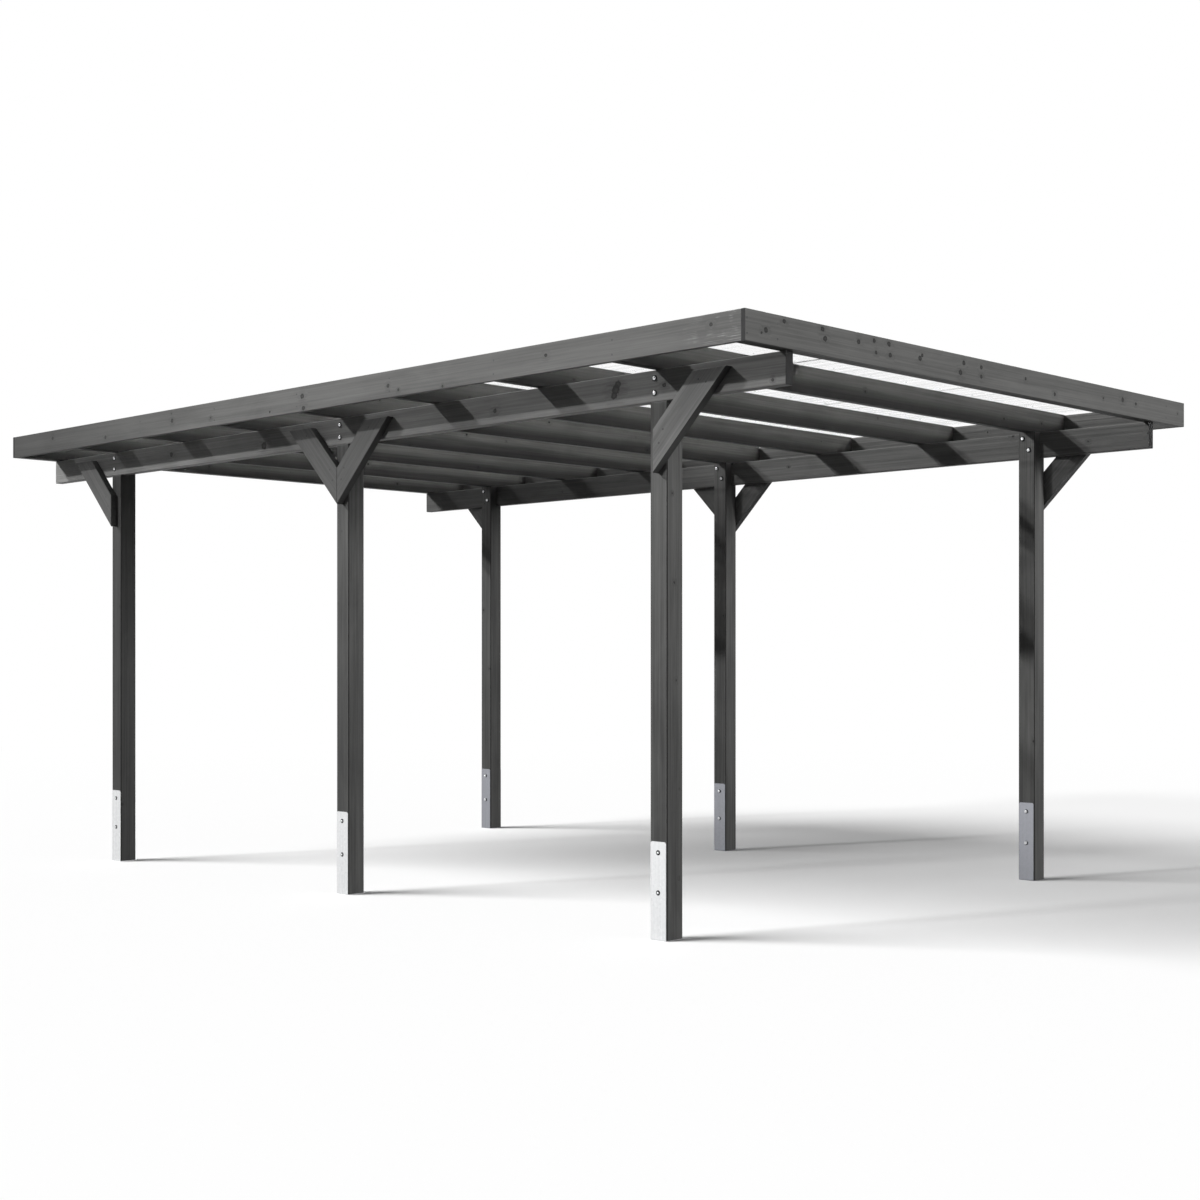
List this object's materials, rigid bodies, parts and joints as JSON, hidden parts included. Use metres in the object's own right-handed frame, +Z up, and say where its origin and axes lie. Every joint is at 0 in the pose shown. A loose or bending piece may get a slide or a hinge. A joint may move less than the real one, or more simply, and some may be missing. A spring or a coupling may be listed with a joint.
{
  "type": "timber carport",
  "caption": "Open timber carport with a flat clear sheet roof on rafters, purlins and braced posts in steel anchors, with a fascia frame all round.",
  "frame": {"origin": "on the ground under the middle of the roof", "axes": "+Z up, the entrance faces -Y, +X to the right as seen from the entrance looking in"},
  "size_m": [3.46, 5.54, 2.4565],
  "materials": {
    "post_timber": "anthracite stain on planed spruce, satin",
    "beam_timber": "anthracite stain on planed spruce, satin",
    "fascia_timber": "anthracite stain on planed spruce, satin",
    "galvanised_steel": "hot-dip galvanised, dull",
    "clear_sheet": "clear glossy sheet"
  },
  "bodies": {
    "root": {"post_front_left": "post_timber", "anchor_front_left": "galvanised_steel", "post_middle_left": "post_timber", "anchor_middle_left": "galvanised_steel", "post_rear_left": "post_timber", "anchor_rear_left": "galvanised_steel", "purlin_left": "beam_timber", "brace_front_left": "beam_timber", "brace_middle_fore_left": "beam_timber", "brace_middle_aft_left": "beam_timber", "brace_rear_left": "beam_timber", "fascia_left": "fascia_timber", "post_front_right": "post_timber", "anchor_front_right": "galvanised_steel", "post_middle_right": "post_timber", "anchor_middle_right": "galvanised_steel", "post_rear_right": "post_timber", "anchor_rear_right": "galvanised_steel", "purlin_right": "beam_timber", "brace_front_right": "beam_timber", "brace_middle_fore_right": "beam_timber", "brace_middle_aft_right": "beam_timber", "brace_rear_right": "beam_timber", "fascia_right": "fascia_timber", "rafter_1": "beam_timber", "rafter_2": "beam_timber", "rafter_3": "beam_timber", "rafter_4": "beam_timber", "rafter_5": "beam_timber", "rafter_6": "beam_timber", "rafter_7": "beam_timber", "header_front": "beam_timber", "header_rear": "beam_timber", "fascia_front": "fascia_timber", "fascia_rear": "fascia_timber", "roof_sheet_left": "clear_sheet", "roof_sheet_middle": "clear_sheet", "roof_sheet_right": "clear_sheet"}
  },
  "joints": []
}
